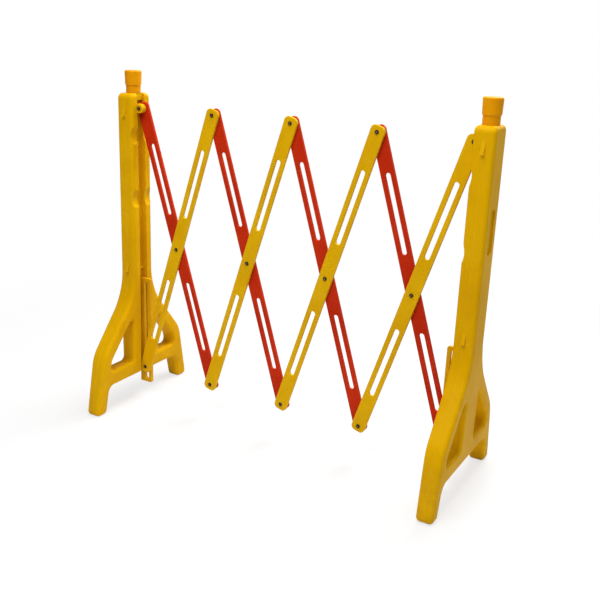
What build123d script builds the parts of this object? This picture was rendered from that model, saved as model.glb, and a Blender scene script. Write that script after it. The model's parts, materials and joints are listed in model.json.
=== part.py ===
import os
from math import cos, radians, sin

from build123d import *

# Expandable barrier: two hollow end posts joined by a four-cell scissor lattice.
# X runs along the lattice, Y is depth with the front at -Y, Z is up from the floor.
# The right post and its guide are the left ones turned half a turn about Z.

# Lattice bars
bar_pitch = 800.0  # between the end pivots of one bar
bar_width = 38.0
bar_thickness = 8.0
bar_overhang = 16.0  # bar beyond its end pivot
bar_corner = 13.0
bar_edge = 1.0  # chamfer round both faces
slot_length = 202.0
slot_width = 14.0
layer_gap = 1.0  # between the front and the rear layer
cell_count = 4
rest_angle = 17.3  # bar from vertical, as photographed
closed_angle = 4.6
open_angle = 50.6

# End post, outside
post_width = 52.0  # along the lattice
post_depth = 80.0
shoulder_height = 900.0
shoulder_radius = 15.0
post_edge = 10.0
wall = 4.0
foot_width = 42.0
foot_reach = 209.0  # outer edge of a foot from the post's centre line
foot_depth = 42.0
foot_radius = 13.0
flare_height = 332.0  # where the column's edge line meets the leg's
flare_radius = 185.0
knee_reach = 174.0
knee_height = 172.0
knee_radius = 100.0
taper_height = 430.0  # the post narrows below this
leg_width = 38.0
arch_height = 78.0
arch_radius = 22.0

# Window between leg and column
window_side = 46.0  # from the post's centre line
window_floor = 122.0
window_apex_radius = 8.0
window_knee_radius = 40.0
window_floor_radius = 13.0

# Channel in the inner face, ear and dimples
pivot_height = 860.0
channel_width = 32.0
channel_depth = 18.0
channel_headroom = 22.0  # channel above the top pivot
notch_depth = 7.0  # shallow run-out of the channel over the shoulder
rib_radius = 6.0  # half-round rib across the channel
rib_rise = 30.0  # its middle above the guide plate
ear_diameter = 24.0
dimple_radius = 45.0
dimple_depth = 8.0
dimple_heights = (787.0, 610.0)
recess_length = 110.0
recess_width = 34.0
recess_depth = 5.0
recess_height = 660.0
hook_width = 8.0
hook_height = 30.0
hook_depth = 7.0
hook_heights = (853.0, 410.0)

# Filler neck, cap and seal
neck_diameter = 34.0
neck_bore = 26.0
neck_height = 50.0  # above the shoulder
seal_thickness = 3.0
cap_roof = 7.0
cap_skirt_diameter = 40.0
cap_skirt_height = 21.0
cap_grip_diameter = 46.5
cap_taper = 1.2  # grip narrows by this radius towards the skirt
cap_edge = 4.0
cap_gap = 0.5  # skirt above the shoulder
cap_fit = 0.4  # between cap and neck

# Guide plate
guide_thickness = 8.0
guide_rim = 10.0
guide_over = 2.0  # slot beyond the bush at each end of the travel
guide_gap = 1.2  # from the sliding bar's face
guide_corner = 5.0
flange_thickness = 4.0
flange_side_gap = 0.4
guide_screw_count = 3
screw_diameter = 4.0
screw_length = 12.0
screw_head_diameter = 6.0
screw_head_height = 2.4
screw_fit = 0.05
screw_boss_diameter = 10.0
screw_hole_spare = 1.0  # hole beyond the screw's end

# Pivot bolts
bolt_diameter = 6.0
bolt_head_diameter = 10.5
bolt_head_height = 3.3
bolt_head_edge = 1.6
nut_width = 10.0
nut_height = 5.0
nut_flange_diameter = 11.4
nut_clear = 0.3  # nut at the ear from the post's inner face
nut_flange_height = 1.2
slide_flange_diameter = 18.0
bolt_end = 0.8  # bolt beyond its nut
spacer_diameter = 16.0
side_play = 0.1  # along the pivot, between parts that turn
bush_play = 0.15
bush_diameter = 12.0
bush_fit = 0.3  # radial clearance of the bush in the guide's slot
fixed_fit = 0.05  # radial clearance of a bolt in its own bar
turning_fit = 0.08  # radial clearance where a bar turns on a bolt
open_fit = 0.3  # radial clearance at the lattice's lower pivots

# Values worked out from the sizes above
half_cell = bar_pitch * sin(radians(rest_angle)) / 2
cell_width = 2 * half_cell
rest_drop = bar_pitch * cos(radians(rest_angle))
closed_drop = bar_pitch * cos(radians(closed_angle))
open_drop = bar_pitch * cos(radians(open_angle))
lattice_span = cell_count * cell_width
inner_face = post_width / 2
pivot_offset = inner_face + nut_clear + nut_flange_diameter / 2  # from the post's centre line
post_x = lattice_span / 2 + pivot_offset
mid_height = pivot_height - rest_drop / 2
low_height = pivot_height - rest_drop
channel_floor = inner_face - channel_depth
layer_face = layer_gap / 2  # both layers' inner faces from the mid-plane
outer_face = layer_face + bar_thickness  # both layers' outer faces from the mid-plane
ear_face = channel_width / 2
channel_top = pivot_height + channel_headroom
neck_top = shoulder_height + neck_height
cap_foot = shoulder_height + cap_gap
cap_ceiling = neck_top + seal_thickness
cap_top = cap_ceiling + cap_roof
nut_stack = nut_flange_height + nut_height
guide_front = guide_gap - layer_face
guide_back = guide_front + guide_thickness
guide_slot = bush_diameter + 2 * bush_fit
guide_reach = pivot_offset + guide_slot / 2 + guide_rim
guide_travel = closed_drop - open_drop + 2 * guide_over
guide_middle = pivot_height - (closed_drop + open_drop) / 2
guide_height = guide_travel + guide_slot + 2 * guide_rim
flange_back = channel_width / 2 - flange_side_gap
screw_line = (guide_back + flange_back) / 2
screw_seat = channel_floor + flange_thickness
screw_end = screw_seat - screw_length
screw_low = arch_height + guide_slot
screw_high = guide_middle + guide_height / 2 - guide_slot


def shifted_line(start, end, distance):
    """Two points of the line start-end, moved sideways to its right-hand side."""
    along = Vector(*end) - Vector(*start)
    side = Vector(along.Y, -along.X).normalized() * distance
    return Vector(*start) + side, Vector(*end) + side


def crossing(first, second):
    """Point where two lines, each given by two points, meet."""
    p, q = first
    r, s = second
    u = q - p
    v = s - r
    t = ((r.X - p.X) * v.Y - (r.Y - p.Y) * v.X) / (u.X * v.Y - u.Y * v.X)
    return p + u * t


def mirrored(points):
    return [(-y, z) for y, z in points]


# Post in its own frame: centre line on Z, inner face towards +X
column_edge = post_depth / 2
flare_corner = (column_edge, flare_height)
knee_corner = (knee_reach, knee_height)
foot_corner = (foot_reach, 0)
foot_inner = foot_reach - foot_depth
arch_corner = foot_inner + (knee_reach - foot_reach) * arch_height / knee_height
leg_inside = shifted_line(flare_corner, knee_corner, leg_width)
shin_inside = shifted_line(knee_corner, foot_corner, leg_width)
window_line = (Vector(window_side, 0), Vector(window_side, 1))
floor_line = (Vector(0, window_floor), Vector(1, window_floor))
window_apex = crossing(leg_inside, window_line)
window_knee = crossing(leg_inside, shin_inside)
window_toe = crossing(shin_inside, floor_line)

half_outline = [
    (column_edge, shoulder_height),
    flare_corner,
    knee_corner,
    foot_corner,
    (foot_inner, 0),
    (arch_corner, arch_height),
]
outline_radii = [shoulder_radius, flare_radius, knee_radius, foot_radius, foot_radius, arch_radius]
window_points = [
    (window_apex.X, window_apex.Y),
    (window_knee.X, window_knee.Y),
    (window_toe.X, window_toe.Y),
    (window_side, window_floor),
]
window_radii = [window_apex_radius, window_knee_radius, window_floor_radius, window_floor_radius]
screw_step = (screw_high - screw_low) / (guide_screw_count - 1)
screw_places = [(screw_line, screw_low + screw_step * n) for n in range(guide_screw_count)]
dimple_middle = (channel_width / 2 + column_edge) / 2
dimple_centres = [
    (inner_face + dimple_radius - dimple_depth, y, z)
    for y in (-dimple_middle, dimple_middle)
    for z in dimple_heights
]


def post_body(inset):
    """Post without neck, ear and hooks, with every wall moved in by an inset."""
    with BuildPart() as body:
        with BuildSketch(Plane.YZ.offset(inset - inner_face)):
            with BuildLine():
                FilletPolyline(
                    *half_outline,
                    *reversed(mirrored(half_outline)),
                    radius=outline_radii + outline_radii[::-1],
                    close=True,
                )
            make_face()
            for window in (window_points, mirrored(window_points)):
                with BuildLine():
                    FilletPolyline(*window, radius=window_radii, close=True)
                make_face(mode=Mode.SUBTRACT)
            if inset:
                offset(amount=-inset)
        extrude(amount=post_width - 2 * inset)
        # Seen along Y the post is straight, then narrows in a long curve to the foot
        with BuildSketch(Plane.XZ.offset(-foot_reach)):
            with BuildLine():
                side = Line((inner_face - inset, shoulder_height), (inner_face - inset, taper_height))
                taper = TangentArc(side @ 1, (foot_width / 2 - inset, 0), tangent=side % 1)
                Polyline(taper @ 1, (0, 0), (0, shoulder_height), side @ 0)
            make_face()
            mirror(about=Plane.YZ)
        extrude(amount=2 * foot_reach, mode=Mode.INTERSECT)
        broad_sides = body.faces().filter_by(lambda face: abs(face.normal_at().X) > 0.9)
        taper_seams = broad_sides.edges().filter_by_position(Axis.Z, taper_height, taper_height)
        fillet(broad_sides.edges() - taper_seams, radius=post_edge - inset)
        # Channel in the inner face, with a shallow run-out over the shoulder
        for floor, low, high in (
            (channel_floor - inset, -wall, channel_top + inset),
            (inner_face - notch_depth - inset, pivot_height, shoulder_height + wall),
        ):
            with BuildSketch(Plane.XY.offset(low)):
                with Locations((floor, 0)):
                    Rectangle(post_width, channel_width + 2 * inset, align=(Align.MIN, Align.CENTER))
            extrude(amount=high - low, mode=Mode.SUBTRACT)
        # Finger dimples beside the channel
        with Locations(*dimple_centres):
            Sphere(dimple_radius + inset, mode=Mode.SUBTRACT)
        # Long recess in the outer face
        with BuildSketch(Plane.YZ.offset(recess_depth + inset - inner_face)):
            with Locations((0, recess_height)):
                SlotOverall(recess_length + 2 * inset, recess_width + 2 * inset, rotation=90)
        extrude(amount=-post_width, mode=Mode.SUBTRACT)
    return body.part


def bolt(length, flange_diameter=0):
    """Bolt along Y, seated at y = 0 with its head towards -Y."""
    flange_height = nut_flange_height if flange_diameter else 0
    with BuildPart() as piece:
        with BuildSketch(Plane.XZ.offset(flange_height)):
            Circle(bolt_head_diameter / 2)
        extrude(amount=bolt_head_height)
        fillet(piece.faces().sort_by(Axis.Y)[0].edges(), radius=bolt_head_edge)
        if flange_diameter:
            with BuildSketch(Plane.XZ):
                Circle(flange_diameter / 2)
            extrude(amount=flange_height)
        with BuildSketch(Plane.XZ):
            Circle(bolt_diameter / 2)
        extrude(amount=-length)
    return piece.part


def nut(flange_diameter):
    """Flanged hexagon nut along Y, seated at y = 0 and built up towards +Y."""
    with BuildPart() as piece:
        with BuildSketch(Plane.XZ):
            Circle(flange_diameter / 2)
        extrude(amount=-nut_flange_height)
        with BuildSketch(Plane.XZ):
            RegularPolygon(nut_width / 2, side_count=6, major_radius=False)
        extrude(amount=-nut_stack)
        with BuildSketch(Plane.XZ):
            Circle(bolt_diameter / 2 + fixed_fit)
        extrude(amount=-nut_stack, mode=Mode.SUBTRACT)
    return piece.part


def ring(diameter, length):
    """Plain ring for a bolt, from y = 0 towards +Y."""
    with BuildPart() as piece:
        with BuildSketch(Plane.XZ):
            Circle(diameter / 2)
            Circle(bolt_diameter / 2 + fixed_fit, mode=Mode.SUBTRACT)
        extrude(amount=-length)
    return piece.part


def lattice_bar(number, lean, near_face, fits):
    """Slotted bar in place, with a named clearance for its upper, middle and lower hole."""
    slope = radians(lean)
    middle = ((number - (cell_count + 1) / 2) * cell_width, near_face, mid_height)
    face = Plane(middle, x_dir=(cos(slope), 0, -sin(slope)), z_dir=(0, -1, 0))
    with BuildPart() as bar:
        with BuildSketch(face):
            RectangleRounded(bar_width, bar_pitch + 2 * bar_overhang, bar_corner)
            with Locations((0, bar_pitch / 4), (0, -bar_pitch / 4)):
                SlotOverall(slot_length, slot_width, rotation=90, mode=Mode.SUBTRACT)
        extrude(amount=-bar_thickness)
        chamfer(bar.faces().filter_by(Axis.Y).edges(), length=bar_edge)
        for place, fit in zip((bar_pitch / 2, 0, -bar_pitch / 2), fits):
            with BuildSketch(face):
                with Locations((0, place)):
                    Circle(bolt_diameter / 2 + fit)
            extrude(amount=-bar_thickness, mode=Mode.SUBTRACT)
    return bar.part


# Hollow post with pivot ear, hooks and filler neck
with BuildPart() as post:
    add(post_body(0))
    with BuildSketch(Plane.XZ.offset(ear_face)):
        with Locations((pivot_offset, pivot_height)):
            Circle(ear_diameter / 2)
            Rectangle(pivot_offset - channel_floor, ear_diameter, align=(Align.MAX, Align.CENTER))
    extrude(amount=layer_face - ear_face)
    with BuildSketch(Plane.XZ.offset(ear_face)):
        with Locations((pivot_offset, pivot_height)):
            Circle(bolt_diameter / 2 + fixed_fit)
    extrude(amount=layer_face - ear_face, mode=Mode.SUBTRACT)
    with BuildSketch(Plane.XZ.offset(channel_width / 2)):
        with Locations((channel_floor, guide_middle + guide_height / 2 + rib_rise)):
            Circle(rib_radius)
    extrude(amount=-channel_width)
    for hook_level in hook_heights:
        with BuildSketch(Plane.YZ.offset(-hook_width / 2)):
            with BuildLine():
                Polyline(
                    (column_edge - wall / 2, hook_level + hook_height / 2),
                    (column_edge, hook_level + hook_height / 2),
                    (column_edge + hook_depth, hook_level - hook_height / 2),
                    (column_edge - wall / 2, hook_level - hook_height / 2),
                    close=True,
                )
            make_face()
            mirror(about=Plane.YZ)
        extrude(amount=hook_width)
    with BuildSketch(Plane.XY.offset(shoulder_height - wall)):
        Circle(neck_diameter / 2)
    extrude(amount=neck_height + wall)

# Ballast space inside it, open through the neck
with BuildPart() as ballast:
    add(post_body(wall))
    with BuildSketch(Plane.YZ.offset(screw_end - screw_hole_spare - wall)):
        with Locations(*screw_places):
            Circle(screw_boss_diameter / 2)
    extrude(amount=post_width, mode=Mode.SUBTRACT)
    with BuildSketch(Plane.XY.offset(shoulder_height - 2 * wall)):
        Circle(neck_bore / 2)
    extrude(amount=neck_height + 2 * wall)
    with BuildSketch(Plane.YZ.offset(screw_end - screw_hole_spare)):
        with Locations(*screw_places):
            Circle(screw_diameter / 2 + screw_fit)
    extrude(amount=inner_face - screw_end + screw_hole_spare)

with BuildPart() as hollow_post:
    add(post.part)
    add(ballast.part, mode=Mode.SUBTRACT)

with BuildPart() as fill_cap:
    with BuildSketch(Plane.XZ):
        with BuildLine():
            Polyline(
                (neck_diameter / 2 + cap_fit, cap_foot),
                (cap_skirt_diameter / 2, cap_foot),
                (cap_skirt_diameter / 2, cap_foot + cap_skirt_height),
                (cap_grip_diameter / 2 - cap_taper, cap_foot + cap_skirt_height),
                (cap_grip_diameter / 2, cap_top),
                (0, cap_top),
                (0, cap_ceiling),
                (neck_diameter / 2 + cap_fit, cap_ceiling),
                close=True,
            )
        make_face()
    revolve(axis=Axis.Z)
    fillet(fill_cap.faces().sort_by(Axis.Z)[-1].edges(), radius=cap_edge)

with BuildPart() as cap_seal:
    with BuildSketch(Plane.XY.offset(neck_top)):
        Circle(neck_diameter / 2)
        Circle(neck_bore / 2, mode=Mode.SUBTRACT)
    extrude(amount=seal_thickness)

# Guide: a slotted fin on a flange that is screwed to the channel's floor
with BuildPart() as guide_plate:
    with BuildSketch(Plane.XZ.offset(-guide_front)):
        with Locations((channel_floor, guide_middle)):
            Rectangle(guide_reach - channel_floor, guide_height, align=(Align.MIN, Align.CENTER))
        with Locations((pivot_offset, guide_middle)):
            SlotCenterToCenter(guide_travel, guide_slot, rotation=90, mode=Mode.SUBTRACT)
    extrude(amount=-guide_thickness)
    fin_end = guide_plate.faces().sort_by(Axis.X)[-1]
    fillet(fin_end.edges().filter_by(Axis.Y), radius=guide_corner)
    with BuildSketch(Plane.YZ.offset(channel_floor)):
        with Locations((guide_front, guide_middle)):
            Rectangle(flange_back - guide_front, guide_height, align=(Align.MIN, Align.CENTER))
    extrude(amount=flange_thickness)
    with BuildSketch(Plane.YZ.offset(channel_floor)):
        with Locations(*screw_places):
            Circle(screw_diameter / 2 + screw_fit)
    extrude(amount=flange_thickness, mode=Mode.SUBTRACT)

with BuildPart() as guide_screws:
    with BuildSketch(Plane.YZ.offset(screw_end)):
        with Locations(*screw_places):
            Circle(screw_diameter / 2)
    extrude(amount=screw_length)
    with BuildSketch(Plane.YZ.offset(screw_seat)):
        with Locations(*screw_places):
            Circle(screw_head_diameter / 2)
    extrude(amount=screw_head_height)

os.makedirs("parts", exist_ok=True)

# Each post with its cap and guide, the right one turned half a turn
for side, end_x, turn in (("left", -post_x, 0), ("right", post_x, 180)):
    for name, source in (
        ("post", hollow_post),
        ("fill_cap", fill_cap),
        ("cap_seal", cap_seal),
        ("guide_plate", guide_plate),
        ("guide_screws", guide_screws),
    ):
        with BuildPart() as piece:
            with Locations((end_x, 0, 0)):
                add(source.part, rotation=(0, 0, turn))
        piece.part.label = f"{side}_{name}"
        export_step(piece.part, f"parts/{side}_{name}.step")

# Bars: yellow ones in the front layer lean right, red ones in the rear layer lean left
for number in range(1, cell_count + 1):
    yellow_upper = turning_fit if number == cell_count else fixed_fit
    red_lower = fixed_fit if number == cell_count else open_fit
    for colour, lean, near_face, fits in (
        ("yellow", rest_angle, -outer_face, (yellow_upper, fixed_fit, fixed_fit)),
        ("red", -rest_angle, layer_face, (turning_fit, turning_fit, red_lower)),
    ):
        bar = lattice_bar(number, lean, near_face, fits)
        bar.label = f"{colour}_bar_{number}"
        export_step(bar, f"parts/{colour}_bar_{number}.step")

# Fasteners at the crossings, grouped by the yellow bar that carries them
bar_bolt_length = 2 * outer_face + side_play + nut_stack + bolt_end
for number in range(1, cell_count + 1):
    cell_left = (number - 1) * cell_width - lattice_span / 2
    crossings = [(cell_left + half_cell, mid_height)]
    if number < cell_count:
        crossings.append((cell_left + cell_width, pivot_height))
    if number > 1:
        crossings.append((cell_left, low_height))
    for name, seat, source in (
        ("bolts", -outer_face, bolt(bar_bolt_length)),
        ("nuts", outer_face + side_play, nut(nut_flange_diameter)),
        ("spacers", -layer_face, ring(spacer_diameter, layer_gap - side_play)),
    ):
        with BuildPart() as piece:
            with Locations(*[(x, seat, z) for x, z in crossings]):
                add(source)
        piece.part.label = f"pivot_{name}_{number}"
        export_step(piece.part, f"parts/pivot_{name}_{number}.step")

# Fasteners at the posts: the upper ones turn in the ear, the lower ones slide in the guide
left_x = -lattice_span / 2
right_x = lattice_span / 2
slide_seat = guide_back + bush_play
bush_length = slide_seat + layer_face
post_bolt_length = ear_face + outer_face + side_play + nut_stack + bolt_end
slide_bolt_length = outer_face + slide_seat + nut_stack + bolt_end
nut_seat = outer_face + side_play
spacer_length = layer_gap - side_play
right_spacer_seat = side_play - layer_face
pivot_bolt = bolt(post_bolt_length)
small_nut = nut(nut_flange_diameter)
pivot_spacer = ring(spacer_diameter, spacer_length)
slide_bush = ring(bush_diameter, bush_length)
flanged_bolt = bolt(slide_bolt_length, slide_flange_diameter)
for name, place, source in (
    ("left_post_bolt", (left_x, -ear_face, pivot_height), pivot_bolt),
    ("left_post_nut", (left_x, nut_seat, pivot_height), small_nut),
    ("left_post_spacer", (left_x, -layer_face, pivot_height), pivot_spacer),
    ("right_post_bolt", (right_x, -nut_seat, pivot_height), pivot_bolt),
    ("right_post_nut", (right_x, ear_face, pivot_height), small_nut),
    ("right_post_spacer", (right_x, right_spacer_seat, pivot_height), pivot_spacer),
    ("left_slide_bolt", (left_x, -outer_face, low_height), bolt(slide_bolt_length)),
    ("left_slide_bush", (left_x, -layer_face, low_height), slide_bush),
    ("left_slide_nut", (left_x, slide_seat, low_height), nut(slide_flange_diameter)),
    ("right_slide_bolt", (right_x, -slide_seat, low_height), flanged_bolt),
    ("right_slide_bush", (right_x, -slide_seat, low_height), slide_bush),
    ("right_slide_nut", (right_x, outer_face, low_height), small_nut),
):
    with BuildPart() as piece:
        with Locations(place):
            add(source)
    piece.part.label = name
    export_step(piece.part, f"parts/{name}.step")
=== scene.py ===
import json
import math

import bmesh
import bpy
import numpy as np
from mathutils import Matrix, Vector


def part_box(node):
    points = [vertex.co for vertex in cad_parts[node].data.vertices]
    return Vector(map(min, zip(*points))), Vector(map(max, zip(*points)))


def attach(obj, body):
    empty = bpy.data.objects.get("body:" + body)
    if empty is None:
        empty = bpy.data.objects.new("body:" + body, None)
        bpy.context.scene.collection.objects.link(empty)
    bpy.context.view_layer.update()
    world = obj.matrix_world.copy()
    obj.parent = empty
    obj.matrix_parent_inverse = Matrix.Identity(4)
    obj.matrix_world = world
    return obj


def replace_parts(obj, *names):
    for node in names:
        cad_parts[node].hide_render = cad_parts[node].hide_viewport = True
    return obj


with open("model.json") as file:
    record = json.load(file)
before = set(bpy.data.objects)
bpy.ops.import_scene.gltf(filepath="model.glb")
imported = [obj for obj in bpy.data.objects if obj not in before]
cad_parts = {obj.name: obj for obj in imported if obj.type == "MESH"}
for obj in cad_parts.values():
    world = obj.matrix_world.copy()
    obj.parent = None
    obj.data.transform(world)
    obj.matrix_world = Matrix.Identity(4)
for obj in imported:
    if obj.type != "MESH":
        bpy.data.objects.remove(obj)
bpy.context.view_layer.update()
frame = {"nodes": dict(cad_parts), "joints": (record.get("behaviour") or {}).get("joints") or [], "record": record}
nodes = frame["nodes"]
pivotAt = {joint["name"]: joint.get("pos_m") for joint in frame["joints"]}
print("frame loaded:", len(nodes), "nodes")

# camera and light

cameraSet = {
    "azimuth": 29.466, "elevation": 17.365, "roll": 2.165,  # degrees
    "focal": 856.6, "picture": 600,  # pixels
    "sensor": 36, "clipEnd": 50,
    "stand": (0.0398, 0.39497, 2.39481),  # metres to the right, up and back
    "shift": (0.00807, -0.01081),
}


def placeCamera(s):
    az, el, roll = (math.radians(s[k]) for k in ("azimuth", "elevation", "roll"))
    back = Vector((math.sin(az) * math.cos(el), -math.cos(az) * math.cos(el), math.sin(el)))
    level = Vector((math.cos(az), math.sin(az), 0))
    rise = back.cross(level)
    right = level * math.cos(roll) + rise * math.sin(roll)
    up = rise * math.cos(roll) - level * math.sin(roll)
    data = bpy.data.cameras.new("studioCamera")
    data.sensor_width = s["sensor"]
    data.lens = s["sensor"] * s["focal"] / s["picture"]
    data.shift_x, data.shift_y = s["shift"]
    data.clip_end = s["clipEnd"]
    camera = bpy.data.objects.new("studioCamera", data)
    turn = Matrix((right, up, back)).transposed().to_4x4()
    along, high, away = s["stand"]
    camera.matrix_world = Matrix.Translation(right * along + up * high + back * away) @ turn
    bpy.context.scene.collection.objects.link(camera)
    bpy.context.scene.camera = camera


placeCamera(cameraSet)

lampAim = Vector((0, 0, 0.5))  # the middle of the barrier
lampSet = {
    "over": {"at": (0.0, -1.6, 2.9), "size": 1.6, "watts": 53},
    "top": {"at": (0.2, 0.3, 3.0), "size": 2.4, "watts": 54},
    "inner": {"at": (0.3, 1.5, 2.3), "size": 1.2, "watts": 38},
    "side": {"at": (3.0, -0.9, 1.6), "size": 1.8, "watts": 8},
    "rear": {"at": (0.6, 3.0, 1.8), "size": 2.0, "watts": 13},
}


def hangLamps(lamps):
    for name, s in lamps.items():
        data = bpy.data.lights.new(name + "Lamp", "AREA")
        data.size = s["size"]
        data.energy = s["watts"]
        lamp = bpy.data.objects.new(name + "Lamp", data)
        lamp.location = s["at"]
        lamp.rotation_euler = (lampAim - Vector(s["at"])).to_track_quat("-Z", "Y").to_euler()
        bpy.context.scene.collection.objects.link(lamp)


hangLamps(lampSet)
bpy.context.scene.view_settings.view_transform = "Standard"
print("camera and lamps placed")


# node helpers

def srgb(r, g, b):  # 0-255 screen colour to the linear one that shaders take
    c = np.array((r, g, b)) / 255
    lin = np.where(c <= 0.04045, c / 12.92, ((c + 0.055) / 1.055) ** 2.4)
    return (*(float(v) for v in lin), 1.0)


def addNode(tree, kind, inputs=None, **settings):  # an input is a socket to link or a value to set
    node = tree.nodes.new(kind)
    for key, value in settings.items():
        setattr(node, key, value)
    for key, value in (inputs or {}).items():
        if isinstance(value, bpy.types.NodeSocket):
            tree.links.new(value, node.inputs[key])
        else:
            node.inputs[key].default_value = value
    return node


def maths(tree, operation, a, b=0.0, clamp=False):
    return addNode(tree, "ShaderNodeMath", {0: a, 1: b}, operation=operation, use_clamp=clamp).outputs[0]


def times(tree, a, b):
    return maths(tree, "MULTIPLY", a, b)


def mixColour(tree, share, a, b):
    return addNode(tree, "ShaderNodeMix", {0: share, 6: a, 7: b}, data_type="RGBA").outputs[2]


def spread(tree, value, low, high, toLow=0.0, toHigh=1.0):  # smooth step from low to high
    node = addNode(tree, "ShaderNodeMapRange", {0: value, 1: low, 2: high, 3: toLow, 4: toHigh},
                   interpolation_type="SMOOTHSTEP")
    return node.outputs[0]


def noise(tree, scale, stretch=(1, 1, 1), detail=3.0, rough=0.55, turn=(0, 0, 0)):
    where = addNode(tree, "ShaderNodeTexCoord").outputs["Object"]
    turned = addNode(tree, "ShaderNodeMapping", {"Vector": where, "Rotation": turn}).outputs[0]
    placed = addNode(tree, "ShaderNodeMapping", {"Vector": turned, "Scale": stretch}).outputs[0]
    node = addNode(tree, "ShaderNodeTexNoise",
                   {"Vector": placed, "Scale": scale, "Detail": detail, "Roughness": rough})
    return node.outputs[0]


def newGroup(name, colours, values, outputs):  # of the outputs only Colour is a colour
    tree = bpy.data.node_groups.new(name, "ShaderNodeTree")
    for label in colours:
        tree.interface.new_socket(label, in_out="INPUT", socket_type="NodeSocketColor")
    for label in values:
        tree.interface.new_socket(label, in_out="INPUT", socket_type="NodeSocketFloat")
    for label in outputs:
        kind = "NodeSocketColor" if label == "Colour" else "NodeSocketFloat"
        tree.interface.new_socket(label, in_out="OUTPUT", socket_type=kind)
    return tree, addNode(tree, "NodeGroupInput").outputs


def endGroup(tree, outputs):
    addNode(tree, "NodeGroupOutput", outputs)
    return tree


def useGroup(tree, group, inputs):
    return addNode(tree, "ShaderNodeGroup", inputs, node_tree=group).outputs


# shared effects

flowSet = {"cloudScale": 7.0, "cloudEdges": (0.36, 0.66), "cloudShare": 0.85,
           "streakScale": 26.0, "streakStretch": (1, 1, 0.06), "streakEdges": (0.4, 0.68),
           "streakShare": 0.15}


def makeFlowGroup(s):  # uneven pigment: soft clouds plus faint streaks down the mould
    tree, given = newGroup("pigmentFlow", ("Colour", "Deep colour"), ("Amount",), ("Colour", "Cloud"))
    cloud = spread(tree, noise(tree, s["cloudScale"], detail=4.0), *s["cloudEdges"])
    streak = spread(tree, noise(tree, s["streakScale"], s["streakStretch"]), *s["streakEdges"])
    both = maths(tree, "ADD", times(tree, cloud, s["cloudShare"]), times(tree, streak, s["streakShare"]))
    colour = mixColour(tree, times(tree, both, given["Amount"]), given["Colour"], given["Deep colour"])
    return endGroup(tree, {"Colour": colour, "Cloud": both})


peelSet = {"grainScale": 1400.0, "rippleScale": 230.0,
           "waveScale": 30.0, "waveStretch": (1, 1, 0.6), "waveHeight": 0.8}


def makePeelGroup(s):  # moulded skin: fine grain on an orange-peel ripple, with long shallow flow waves
    tree, given = newGroup("mouldedPeel", (), ("Grain", "Ripple"), ("Height",))
    grain = times(tree, noise(tree, s["grainScale"], rough=0.6), given["Grain"])
    ripple = times(tree, noise(tree, s["rippleScale"], detail=2.0), given["Ripple"])
    wave = times(tree, noise(tree, s["waveScale"], s["waveStretch"], 1.0), s["waveHeight"])
    return endGroup(tree, {"Height": maths(tree, "ADD", maths(tree, "ADD", grain, ripple), wave)})


edgeWearAndHighlightSet = {"samples": 6, "edge": (0.995, 0.86), "breakScale": 60.0, "breakEdges": (0.34, 0.62), "least": 0.35}


def makeEdgeWearAndHighlightGroup(s):  # edges lightened, partly as rubbed wear and partly as a painted edge highlight: where a rounded normal leaves the true one, broken up by noise
    tree, given = newGroup("edgeWearAndHighlight", ("Colour", "Worn and highlight colour"), ("Amount", "Width"), ("Colour", "Mask"))
    rounded = addNode(tree, "ShaderNodeBevel", {"Radius": given["Width"]}, samples=s["samples"]).outputs[0]
    true = addNode(tree, "ShaderNodeNewGeometry").outputs["Normal"]
    dot = addNode(tree, "ShaderNodeVectorMath", {0: rounded, 1: true}, operation="DOT_PRODUCT")
    edge = spread(tree, dot.outputs["Value"], *s["edge"])
    broken = noise(tree, s["breakScale"], detail=5.0, rough=0.65)
    broken = spread(tree, broken, *s["breakEdges"], s["least"], 1.0)
    mask = maths(tree, "MULTIPLY", times(tree, edge, broken), given["Amount"], True)
    colour = mixColour(tree, mask, given["Colour"], given["Worn and highlight colour"])
    return endGroup(tree, {"Colour": colour, "Mask": mask})


scuffSet = {
    "patchScale": 13.0, "patchEdges": (0.46, 0.66),
    "scratches": (  # scale, stretch and turn of each direction
        (900, (1, 1, 0.025), 0.25),
        (760, (0.03, 0.03, 1), -0.2),
        (980, (1, 1, 0.02), -0.7),
    ),
    "skew": 0.4, "scratchEdges": (0.66, 0.74),
    "rubScale": 90.0, "rubStretch": (1, 1, 0.5), "rubEdges": (0.58, 0.8), "rubMost": 0.4,
}


def makeScuffGroup(s):  # handling marks in worn patches: hair-thin scratches three ways, and dull rubs
    tree, given = newGroup("handlingScuffs", ("Colour", "Scuff colour"), ("Amount",), ("Colour", "Mask"))
    patch = spread(tree, noise(tree, s["patchScale"]), *s["patchEdges"])
    lines = 0.0
    for scale, stretch, turn in s["scratches"]:
        way = spread(tree, noise(tree, scale, stretch, 2.0, 0.5, (0, turn, s["skew"])), *s["scratchEdges"])
        lines = maths(tree, "MAXIMUM", way, lines)
    rub = noise(tree, s["rubScale"], s["rubStretch"], 5.0, 0.7)
    rub = spread(tree, rub, *s["rubEdges"], 0.0, s["rubMost"])
    marks = maths(tree, "MAXIMUM", lines, rub)
    mask = maths(tree, "MULTIPLY", times(tree, marks, patch), given["Amount"], True)
    colour = mixColour(tree, mask, given["Colour"], given["Scuff colour"])
    return endGroup(tree, {"Colour": colour, "Mask": mask})


dustSet = {"breakScale": 38.0, "breakEdges": (0.36, 0.7)}


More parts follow.
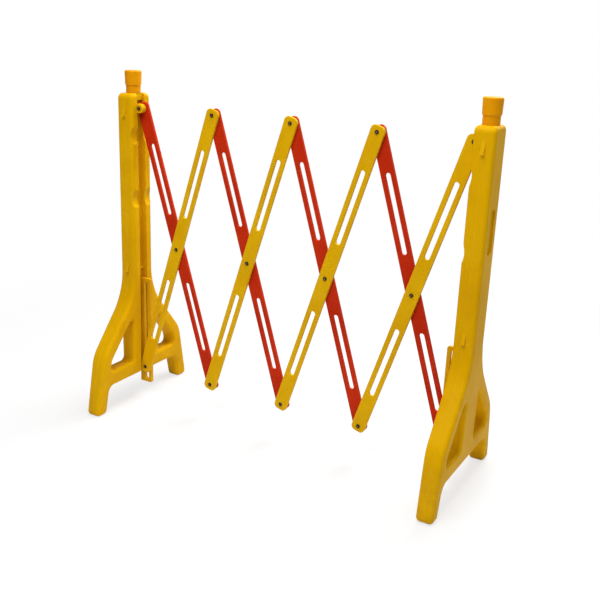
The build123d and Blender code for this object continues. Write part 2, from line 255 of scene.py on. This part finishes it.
def makeDustGroup(s):  # road dust: thickest at the floor, gone at the given height, broken up by noise
    tree, given = newGroup("roadDust", ("Colour", "Dust colour"), ("Height", "Amount"), ("Colour", "Mask"))
    where = addNode(tree, "ShaderNodeTexCoord").outputs["Object"]
    up = addNode(tree, "ShaderNodeSeparateXYZ", {0: where}).outputs[2]
    near = spread(tree, maths(tree, "DIVIDE", up, given["Height"]), 1.0, 0.0)
    broken = spread(tree, noise(tree, s["breakScale"], detail=6.0, rough=0.62), *s["breakEdges"])
    mask = maths(tree, "MULTIPLY", times(tree, near, broken), given["Amount"], True)
    colour = mixColour(tree, mask, given["Colour"], given["Dust colour"])
    return endGroup(tree, {"Colour": colour, "Mask": mask})


pigmentFlow = makeFlowGroup(flowSet)
mouldedPeel = makePeelGroup(peelSet)
edgeWearAndHighlight = makeEdgeWearAndHighlightGroup(edgeWearAndHighlightSet)
handlingScuffs = makeScuffGroup(scuffSet)
roadDust = makeDustGroup(dustSet)
print("shared effects built")

# finishes

# the lighter rubbed colour marks the scuffs, and along the edges it is partly a painted highlight
plasticSet = {
    "post_yellow": {"colour": srgb(224, 171, 3), "deep": srgb(210, 155, 2), "wornAndHighlight": srgb(246, 204, 66),
                    "rough": 0.42, "gloss": 0.02, "grain": 0.08, "ripple": 0.36, "bump": 0.30,
                    "rub": 0.5, "width": 0.0025},
    "bar_yellow": {"colour": srgb(227, 177, 5), "deep": srgb(214, 160, 4), "wornAndHighlight": srgb(240, 204, 84),
                   "rough": 0.44, "gloss": 0.035, "grain": 0.04, "ripple": 0.14, "bump": 0.26,
                   "rub": 0.6, "width": 0.0016},
    "bar_red": {"colour": srgb(198, 48, 14), "deep": srgb(178, 36, 8), "wornAndHighlight": srgb(226, 96, 62),
                "rough": 0.44, "gloss": 0.035, "grain": 0.04, "ripple": 0.14, "bump": 0.26,
                "rub": 0.6, "width": 0.0016},
    "cap_orange": {"colour": srgb(232, 156, 4), "deep": srgb(214, 136, 2), "wornAndHighlight": srgb(248, 196, 80),
                   "rough": 0.40, "gloss": 0.045, "grain": 0.10, "ripple": 0.2, "bump": 0.26,
                   "rub": 0.5, "width": 0.0015},
    "guide_yellow": {"colour": srgb(220, 166, 5), "deep": srgb(206, 148, 3), "wornAndHighlight": srgb(242, 204, 80),
                     "rough": 0.44, "gloss": 0.035, "grain": 0.04, "ripple": 0.14, "bump": 0.26,
                     "rub": 0.6, "width": 0.0015},
    "nylon": {"colour": srgb(206, 202, 190), "deep": srgb(188, 182, 168), "wornAndHighlight": srgb(226, 223, 214),
              "rough": 0.5, "gloss": 0.4, "grain": 0.4, "ripple": 0.4, "bump": 0.05,
              "rub": 0.3, "width": 0.0006},
    "seal_rubber": {"colour": srgb(30, 30, 31), "deep": srgb(20, 20, 21), "wornAndHighlight": srgb(58, 58, 60),
                    "rough": 0.75, "gloss": 0.3, "grain": 0.8, "ripple": 0.3, "bump": 0.06,
                    "rub": 0.3, "width": 0.0006},
}
wearSet = {"flow": 0.8, "scuff": 0.55, "dust": 0.22, "dustColour": srgb(120, 98, 62), "dustHeight": 0.16,
           "cloudRough": 0.08, "roughDrop": 0.03, "markRough": 0.25, "bumpDepth": 0.002}


def newMaterial(name):
    material = bpy.data.materials.new(name)
    material.use_nodes = True
    return material, material.node_tree, material.node_tree.nodes["Principled BSDF"]


def surface(tree, shader, colour, rough, s, depth):  # colour, roughness and moulded skin into the shader
    height = useGroup(tree, mouldedPeel, {"Grain": s["grain"], "Ripple": s["ripple"]})["Height"]
    bump = addNode(tree, "ShaderNodeBump", {"Strength": s["bump"], "Distance": depth, "Height": height})
    tree.links.new(colour, shader.inputs["Base Color"])
    tree.links.new(rough, shader.inputs["Roughness"])
    tree.links.new(bump.outputs[0], shader.inputs["Normal"])


def makePlastic(name, s, wear):
    material, tree, shader = newMaterial(name)
    flow = useGroup(tree, pigmentFlow, {"Colour": s["colour"], "Deep colour": s["deep"],
                                        "Amount": wear["flow"]})
    # every edge is lightened, partly as rubbed wear and partly as a painted highlight
    rub = useGroup(tree, edgeWearAndHighlight, {"Colour": flow["Colour"], "Worn and highlight colour": s["wornAndHighlight"],
                                      "Amount": s["rub"], "Width": s["width"]})
    scuff = useGroup(tree, handlingScuffs, {"Colour": rub["Colour"], "Scuff colour": s["wornAndHighlight"],
                                            "Amount": wear["scuff"]})
    dust = useGroup(tree, roadDust, {"Colour": scuff["Colour"], "Dust colour": wear["dustColour"],
                                     "Height": wear["dustHeight"], "Amount": wear["dust"]})
    marks = maths(tree, "MAXIMUM", maths(tree, "MAXIMUM", rub["Mask"], scuff["Mask"]), dust["Mask"])
    rough = maths(tree, "ADD", times(tree, flow["Cloud"], wear["cloudRough"]), s["rough"] - wear["roughDrop"])
    rough = maths(tree, "ADD", rough, times(tree, marks, wear["markRough"]), True)
    surface(tree, shader, dust["Colour"], rough, s, wear["bumpDepth"])
    shader.inputs["Specular IOR Level"].default_value = s["gloss"]
    return material


# the lighter socket colour is a painted highlight in each screw's socket
steelSet = {"colour": srgb(50, 40, 33), "deep": srgb(34, 27, 22), "socketGlint": srgb(128, 112, 94),
            "worn": srgb(104, 92, 80), "rub": 0.7, "width": 0.0005, "metal": 0.85,
            "rough": 0.44, "cloudRough": 0.12, "roughDrop": 0.06,
            "grain": 1.0, "ripple": 0.2, "bump": 0.05, "bumpDepth": 0.001}


def makeSteel(s):  # blackened steel, painted lighter in the sockets as a highlight
    material, tree, shader = newMaterial("dark_steel")
    flow = useGroup(tree, pigmentFlow, {"Colour": s["colour"], "Deep colour": s["deep"], "Amount": 1.0})
    rub = useGroup(tree, edgeWearAndHighlight, {"Colour": flow["Colour"], "Worn and highlight colour": s["worn"],
                                      "Amount": s["rub"], "Width": s["width"]})
    socketGlint = addNode(tree, "ShaderNodeAttribute", attribute_name="socketGlint").outputs["Fac"]
    rough = maths(tree, "ADD", times(tree, flow["Cloud"], s["cloudRough"]), s["rough"] - s["roughDrop"])
    surface(tree, shader, mixColour(tree, socketGlint, rub["Colour"], s["socketGlint"]), rough, s, s["bumpDepth"])
    shader.inputs["Metallic"].default_value = s["metal"]
    return material


finishes = {name: makePlastic(name, s, wearSet) for name, s in plasticSet.items()}
finishes["dark_steel"] = makeSteel(steelSet)
for part in frame["record"]["subparts"]:
    for held in nodes[part["node"]].material_slots:
        held.material = finishes[part["material_slot"]]
print("finishes given to the CAD nodes")


# meshes from grids

def gridObject(name, points, body, finish, wrapRows=False, sharp=35.0, marks=None):
    # points: (copies, rows, columns, 3); each face joins four neighbours of the grid;
    # columns close on themselves, rows too if wrapRows
    copies, rows, columns = points.shape[:3]
    index = np.arange(copies * rows * columns).reshape(copies, rows, columns)
    lower = index if wrapRows else index[:, :-1]
    upper = np.roll(index, -1, 1) if wrapRows else index[:, 1:]
    quads = np.stack((lower, np.roll(lower, -1, 2), np.roll(upper, -1, 2), upper), -1).reshape(-1, 4)
    mesh = bpy.data.meshes.new(name)
    mesh.from_pydata(points.reshape(-1, 3), [], quads)
    # marks: where a painted highlight lightens the steel in the sockets
    if marks is not None:
        layer = mesh.attributes.new("socketGlint", "FLOAT", "POINT")
        layer.data.foreach_set("value", np.ascontiguousarray(marks, np.float32).ravel())
    work = bmesh.new()
    work.from_mesh(mesh)
    bmesh.ops.remove_doubles(work, verts=work.verts, dist=1e-7)  # closes the poles
    bmesh.ops.recalc_face_normals(work, faces=work.faces)
    work.to_mesh(mesh)
    work.free()
    mesh.shade_smooth()
    mesh.set_sharp_from_angle(angle=math.radians(sharp))
    mesh.materials.append(finishes[finish])
    piece = bpy.data.objects.new(name, mesh)
    bpy.context.scene.collection.objects.link(piece)
    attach(piece, body)
    return piece


def turnedPoints(rows, seats, sides, axis=(0, 1, 0)):
    # a profile turned about an axis: each row is distance along it, corner radius and how six-sided it is;
    # a hexagon's reach is its corner radius times the cosine of 30 degrees, over the cosine of the angle
    # from the middle of a flat
    angle = np.linspace(0, 2 * np.pi, sides, endpoint=False)
    hexReach = np.cos(np.pi / 6) / np.cos(angle % (np.pi / 3) - np.pi / 6)
    along, radius, six = np.asarray(rows, float).T[:, :, None]
    reach = radius * (1 - six + six * hexReach)
    axis = np.asarray(axis, float)
    first = np.array((0, 0, 1.0))
    second = np.cross(axis, first)
    ring = (along[..., None] * axis + (reach * np.cos(angle))[..., None] * first
            + (reach * np.sin(angle))[..., None] * second)
    return np.asarray(seats, float)[:, None, None, :] + ring


def domeRows(height, radius, flat, steps):
    # over a quarter turn the depth is the height times one less the cosine, and the reach is the radius
    # times the flat share, plus what that leaves of the radius times the sine
    swing = np.linspace(0, np.pi / 2, steps)
    reach = radius * (flat + (1 - flat) * np.sin(swing))
    return np.stack((height * (1 - np.cos(swing)), reach, 0 * swing), 1)


socketRows = 3  # the first rows of a screw's profile lie in its socket


def socketGlintShare(points):  # 1 in the socket, where the painted highlight goes, 0 elsewhere
    inSocket = np.arange(points.shape[1]) < socketRows
    return np.broadcast_to(inSocket[None, :, None], points.shape[:3])


# screws and nuts

boltSet = {"head": 0.0033, "radius": 0.00525, "crown": 0.68, "flat": 0.6, "crownSteps": 8, "shank": 0.003,
           "socket": 0.0025, "socketDepth": 0.0019, "socketPoint": 0.0004, "socketEdge": 0.00025,
           "edgeSix": 0.8, "flange": 0.009, "flangeHeight": 0.0012, "flangeEdge": 0.0004, "bevel": 0.0002,
           "end": 0.0006, "sides": 48}


def boltRows(s, length, flanged):  # button head with a hexagon socket, plain shank, chamfered end
    head, radius, socket, depth = s["head"], s["radius"], s["socket"], s["socketDepth"]
    flange, bevel = s["flange"], s["bevel"]
    rows = [(depth + s["socketPoint"], 0, 1), (depth, socket, 1), (s["socketEdge"], socket, 1),
            (0, socket + s["socketEdge"], s["edgeSix"]),
            *domeRows(s["crown"] * head, radius, s["flat"], s["crownSteps"]),
            (head - bevel, radius, 0), (head, radius - bevel, 0)]
    foot = head
    if flanged:
        foot = head + s["flangeHeight"]
        rows += [(head, flange - s["flangeEdge"], 0), (head + s["flangeEdge"], flange, 0),
                 (foot - bevel, flange, 0), (foot, flange - bevel, 0)]
    rows += [(foot, s["shank"], 0), (length - s["end"], s["shank"], 0),
             (length, s["shank"] - s["end"], 0), (length, 0, 0)]
    return np.array(rows)


nutSet = {"corner": 0.005773, "height": 0.0062, "bore": 0.00295, "flange": 0.0057, "wideFlange": 0.009,
          "flangeHeight": 0.0012, "flangeSide": 0.6, "flangeSlope": 0.001, "root": 0.98, "bevel": 0.0002,
          "cornersFrom": 0.0017, "cornersTo": 0.0013, "cornersLeft": 0.965, "cornersSix": 0.8,
          "collar": 0.0041, "collarFoot": 0.001, "collarSpread": 0.0004, "collarEdge": 0.0003,
          "insert": 0.0036, "insertFoot": 0.0035, "insertDepth": 0.0005, "sides": 48}


def nutRows(s, flange):  # flange, hexagon with its corners turned off, round collar over the insert
    edge, corner, top, collar = s["flangeHeight"], s["corner"], s["height"], s["collar"]
    bevel, rim, sunk = s["bevel"], s["collarEdge"], s["insertDepth"]
    return np.array([(0, s["bore"], 0), (0, flange - bevel, 0), (bevel, flange, 0),
                     (edge * s["flangeSide"], flange, 0),
                     (edge, max(corner * s["root"], flange - s["flangeSlope"]), 0), (edge, corner, 1),
                     (top - s["cornersFrom"], corner, 1),
                     (top - s["cornersTo"], corner * s["cornersLeft"], s["cornersSix"]),
                     (top - s["collarFoot"], collar + s["collarSpread"], 0), (top - rim, collar, 0),
                     (top, collar - rim, 0), (top, s["insert"], 0), (top - sunk, s["insertFoot"], 0),
                     (top - sunk, s["bore"], 0)])


def crossings(number):  # the pivots that one yellow bar carries: middle, upper right, lower left
    middle = np.array(pivotAt[f"cross_{number}"])
    half = np.array(pivotAt["right_post_turn"] if number == 4 else pivotAt[f"peak_{number}"]) - middle
    seats = [middle]
    if number < 4:
        seats.append(middle + half)
    if number > 1:
        seats.append(middle - half)
    return np.array(seats)


wideFrom = 0.015  # a single bolt or nut that is wider has a broad flange


def dressFasteners():
    groups = [(f"pivot_bolts_{k}", f"pivot_nuts_{k}", f"yellow_{k}", crossings(k)) for k in (1, 2, 3, 4)]
    for side, carrier in (("left", "yellow_1"), ("right", "red_4")):
        end = np.array(pivotAt["fold" if side == "left" else "right_post_turn"])
        low = end.copy()
        low[2] = 2 * pivotAt["cross_1"][2] - end[2]
        groups.append((f"{side}_post_bolt", f"{side}_post_nut", f"{side}_post", end[None]))
        groups.append((f"{side}_slide_bolt", f"{side}_slide_nut", carrier, low[None]))
    for boltNode, nutNode, body, seats in groups:
        low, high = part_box(boltNode)
        wide = len(seats) == 1 and high.x - low.x > wideFrom
        rows = boltRows(boltSet, high.y - low.y, wide)
        points = turnedPoints(rows, seats * (1, 0, 1) + np.array((0, low.y, 0)), boltSet["sides"])
        piece = gridObject(boltNode + "_turned", points, body, "dark_steel", marks=socketGlintShare(points))
        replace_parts(piece, boltNode)
        low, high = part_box(nutNode)
        wide = len(seats) == 1 and high.x - low.x > wideFrom
        rows = nutRows(nutSet, nutSet["wideFlange" if wide else "flange"])
        points = turnedPoints(rows, seats * (1, 0, 1) + np.array((0, low.y, 0)), nutSet["sides"])
        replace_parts(gridObject(nutNode + "_turned", points, body, "dark_steel", wrapRows=True), nutNode)


dressFasteners()
print("screws and nuts turned")

guideScrewSet = {"count": 3, "radius": 0.003, "head": 0.0024, "dome": 0.75, "flat": 0.55, "domeSteps": 7,
                 "shank": 0.002, "recess": 0.0013, "depth": 0.0012, "edge": 0.0002, "edgeSix": 0.7,
                 "point": 0.001, "tip": 0.0006, "sides": 36}


def dressGuideScrews(s):  # low round heads in the channel behind each guide, turned about X
    depth, recess, edge, count = s["depth"], s["recess"], s["edge"], s["count"]
    for side, way in (("left", -1), ("right", 1)):
        low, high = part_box(f"{side}_guide_screws")
        length = high.x - low.x
        rows = np.array([(depth + edge, 0, 1), (depth, recess, 1), (edge, recess, 1),
                         (0, recess + edge, s["edgeSix"]),
                         *domeRows(s["dome"] * s["head"], s["radius"], s["flat"], s["domeSteps"]),
                         (s["head"], s["radius"], 0), (s["head"], s["shank"], 0),
                         (length - s["point"], s["shank"], 0), (length, s["tip"], 0), (length, 0, 0)])
        heights = np.linspace(low.z + s["radius"], high.z - s["radius"], count)
        start = high.x if way < 0 else low.x
        seats = np.stack((np.full(count, start), np.full(count, (low.y + high.y) / 2), heights), 1)
        points = turnedPoints(rows, seats, s["sides"], (way, 0, 0))
        piece = gridObject(f"{side}_guide_screws_turned", points, f"{side}_post", "dark_steel",
                           marks=socketGlintShare(points))
        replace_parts(piece, f"{side}_guide_screws")


dressGuideScrews(guideScrewSet)
print("guide screws turned")

# parting line of the moulds, a low bead round each post in its middle plane

seamSet = {
    "corners": [(0.040, 0.900), (0.040, 0.332), (0.174, 0.172), (0.209, 0.0), (0.167, 0.0), (0.1511, 0.078)],
    "radii": [0.015, 0.185, 0.100, 0.013, 0.013, 0.022],
    "outerFace": 0.026,  # from the post's outer face to its middle
    "width": 0.0016, "height": 0.0004, "sunk": 0.0004, "rootDepth": 0.0003,
    "across": (-0.5, -0.28, 0, 0.28, 0.5, 0), "rise": (0, 0.75, 1, 0.75, 0, 0),  # the bead's section, root last
    "clear": 0.002, "fade": 0.02,  # no bead under the feet
    "steps": 14,
}


def roundedLoop(corners, radii, steps):
    # straight runs joined by arcs: at each corner an arc of the given radius runs between the two points
    # where it touches the runs; returns the points in order and the outward directions there
    corner = np.asarray(corners, float)
    before = np.roll(corner, 1, 0) - corner
    after = np.roll(corner, -1, 0) - corner
    before /= np.linalg.norm(before, axis=1)[:, None]
    after /= np.linalg.norm(after, axis=1)[:, None]
    half = np.arccos(np.clip((before * after).sum(1), -1, 1)) / 2
    middle = before + after
    middle /= np.linalg.norm(middle, axis=1)[:, None]
    radius = np.asarray(radii, float)
    centre = corner + middle * (radius / np.sin(half))[:, None]
    turn = np.sign(before[:, 0] * after[:, 1] - before[:, 1] * after[:, 0])
    swing = (np.pi - 2 * half) * turn
    start = corner + before * (radius / np.tan(half))[:, None] - centre
    angle = -swing[:, None] * np.linspace(0, 1, steps)
    x = start[:, :1] * np.cos(angle) - start[:, 1:] * np.sin(angle)
    y = start[:, :1] * np.sin(angle) + start[:, 1:] * np.cos(angle)
    arm = np.stack((x, y), -1)
    out = arm / radius[:, None, None] * np.where(turn == turn[0], 1, -1)[:, None, None]
    return (centre[:, None] + arm).reshape(-1, 2), out.reshape(-1, 2)


def layPartingLines(s):
    # the bead's section is carried along the loop: across it in X, and out of the loop by its rise
    # less what is sunk
    right = np.array(s["corners"])
    left = right[::-1] * (-1, 1)
    path, out = roundedLoop(np.vstack((right, left)), s["radii"] + s["radii"][::-1], s["steps"])
    lift = np.clip((path[:, 1] - s["clear"]) / s["fade"], 0, 1)[:, None]
    across = np.array(s["across"]) * s["width"]
    rise = np.array(s["rise"]) * (s["height"] + s["sunk"])
    root = np.arange(len(rise)) == len(rise) - 1
    reach = rise * lift - s["sunk"] - s["rootDepth"] * root
    flat = path[:, None] + out[:, None] * reach[..., None]
    for side, bias in (("left", 1), ("right", -1)):
        low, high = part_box(f"{side}_post")
        middle = low.x + s["outerFace"] if side == "left" else high.x - s["outerFace"]
        x = np.broadcast_to(middle + bias * across, flat.shape[:2])
        points = np.dstack((x, flat))[None]
        gridObject(f"{side}_parting_line", points, f"{side}_post", "post_yellow", wrapRows=True, sharp=60.0)


layPartingLines(seamSet)
print("parting lines laid")

# floor and surroundings

white = (1, 1, 1, 1)
floorSet = {"half": 14.0, "lines": 9, "under": 0.0004, "shade": srgb(236, 236, 236), "rough": 0.9,
            "shadow": 0.3, "fadeFrom": 0.8, "fadeTo": 1.9}


def seenRay(tree):  # camera, mirror and see-through rays
    rays = addNode(tree, "ShaderNodeLightPath").outputs
    seen = maths(tree, "MAXIMUM", rays["Is Camera Ray"], rays["Is Glossy Ray"])
    return maths(tree, "MAXIMUM", seen, rays["Is Transmission Ray"])


def layFloor(s):  # a flat square, white to the eye, that keeps a share of the shadow near the barrier
    count = s["lines"]
    reach = np.linspace(-s["half"], s["half"], count)
    x, y = np.meshgrid(reach, reach)
    index = np.arange(count * count).reshape(count, count)
    quads = np.stack((index[:-1, :-1], index[:-1, 1:], index[1:, 1:], index[1:, :-1]), -1).reshape(-1, 4)
    mesh = bpy.data.meshes.new("paleFloor")
    mesh.from_pydata(np.stack((x, y, np.full_like(x, -s["under"])), -1).reshape(-1, 3), [], quads)
    material, tree, shader = newMaterial("paleFloor")
    shader.inputs["Base Color"].default_value = s["shade"]
    shader.inputs["Roughness"].default_value = s["rough"]
    glow = addNode(tree, "ShaderNodeEmission", {"Color": white, "Strength": 1.0})
    where = addNode(tree, "ShaderNodeTexCoord").outputs["Object"]
    far = addNode(tree, "ShaderNodeVectorMath", {0: where}, operation="LENGTH").outputs["Value"]
    pale = spread(tree, far, s["fadeFrom"], s["fadeTo"], 1 - s["shadow"], 1.0)
    share = times(tree, pale, seenRay(tree))
    blend = addNode(tree, "ShaderNodeMixShader", {0: share, 1: shader.outputs[0], 2: glow.outputs[0]})
    tree.links.new(blend.outputs[0], tree.nodes["Material Output"].inputs["Surface"])
    mesh.materials.append(material)
    floor = bpy.data.objects.new("paleFloor", mesh)
    bpy.context.scene.collection.objects.link(floor)


worldSet = {"light": srgb(214, 216, 220), "strength": 0.17}


def lightWorld(s):
    world = bpy.data.worlds.new("paleRoom")
    bpy.context.scene.world = world
    world.use_nodes = True
    tree = world.node_tree
    soft = tree.nodes["Background"]
    soft.inputs["Color"].default_value = s["light"]
    soft.inputs["Strength"].default_value = s["strength"]
    plain = addNode(tree, "ShaderNodeBackground", {"Color": white, "Strength": 1.0})
    blend = addNode(tree, "ShaderNodeMixShader", {0: seenRay(tree), 1: soft.outputs[0], 2: plain.outputs[0]})
    tree.links.new(blend.outputs[0], tree.nodes["World Output"].inputs["Surface"])


layFloor(floorSet)
lightWorld(worldSet)
print("floor and surroundings made")
